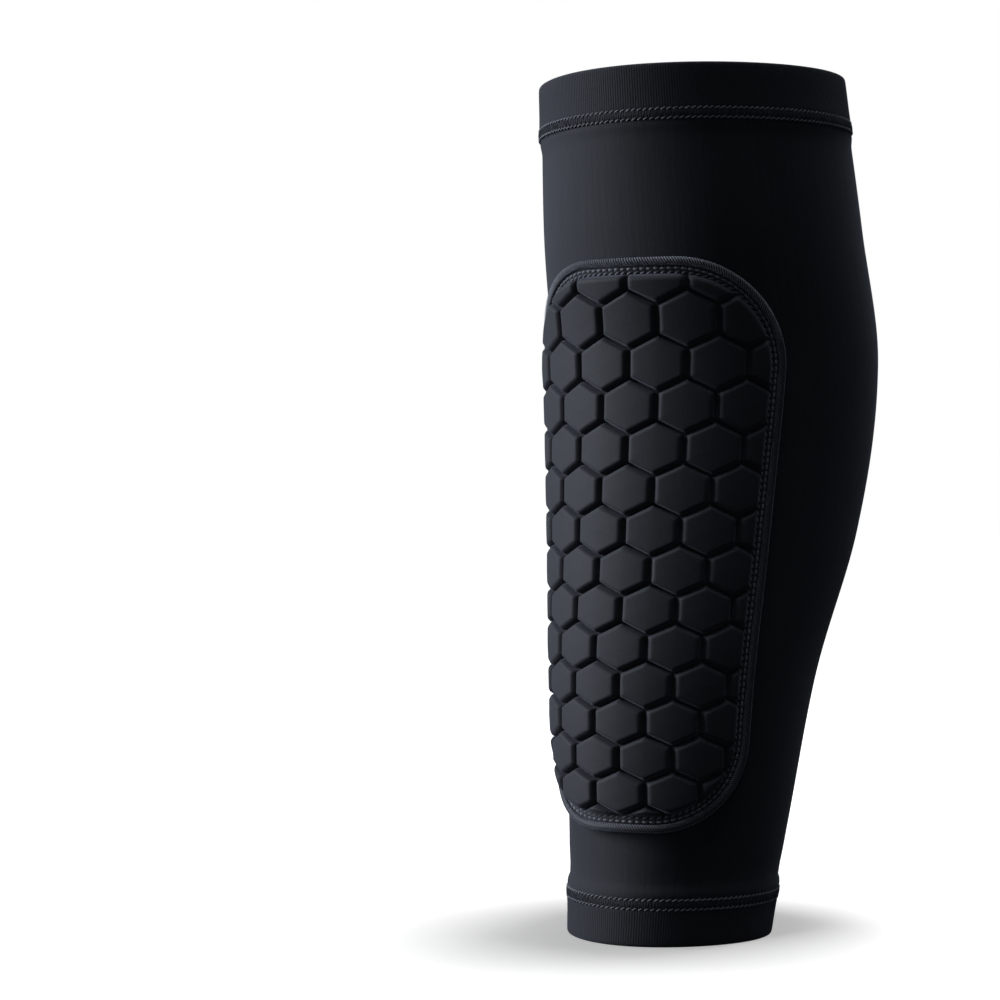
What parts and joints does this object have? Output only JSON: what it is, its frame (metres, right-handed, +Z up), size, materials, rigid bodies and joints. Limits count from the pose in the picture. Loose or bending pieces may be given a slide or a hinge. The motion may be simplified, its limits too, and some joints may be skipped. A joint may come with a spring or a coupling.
{
  "type": "padded calf sleeve shin guard",
  "caption": "Pull-on knit calf sleeve with a moulded honeycomb foam pad sewn over the shin, and folded, elasticated, coverstitched hems at both ends.",
  "frame": {"origin": "on the ground plane under the lower hem, in the middle of the part's box across and front to back", "axes": "+Z up the leg from ankle to knee, -Y towards the shin and the pad, +Y towards the calf, +X to the right seen from in front of the shin"},
  "size_m": [0.1246, 0.1446, 0.32],
  "materials": {
    "knit": "matte black stretch knit with fine wales",
    "rib": "matte black fine rib knit",
    "pad_cover": "smooth black stretch cloth, heat pressed, slight sheen",
    "lining": "matte black brushed lining cloth",
    "foam": "matte charcoal closed-cell foam",
    "binding": "black folded stretch tape",
    "thread": "black textured polyester thread, slight sheen",
    "pad_thread": "black textured polyester thread, pale where it catches light",
    "elastic": "black woven elastic tape",
    "silicone": "satin charcoal silicone bead"
  },
  "bodies": {
    "root": {"sleeve_knit_tube": "knit", "back_seam_cover_thread": "thread", "back_seam_looper_thread": "thread", "top_cuff_band": "rib", "top_cuff_elastic": "elastic", "top_needle_thread_edge": "thread", "top_needle_thread_inner": "thread", "top_cover_thread": "thread", "top_looper_thread": "thread", "bottom_cuff_band": "rib", "bottom_cuff_elastic": "elastic", "bottom_needle_thread_edge": "thread", "bottom_needle_thread_inner": "thread", "bottom_cover_thread": "thread", "bottom_looper_thread": "thread", "silicone_grip_lower": "silicone", "silicone_grip_upper": "silicone", "pad_backing_cloth": "lining", "pad_foam_core": "foam", "pad_cover_cloth": "pad_cover", "pad_edge_binding": "binding", "pad_overlock_thread": "pad_thread", "pad_stitch_outer": "pad_thread", "pad_stitch_inner": "pad_thread"}
  },
  "joints": []
}
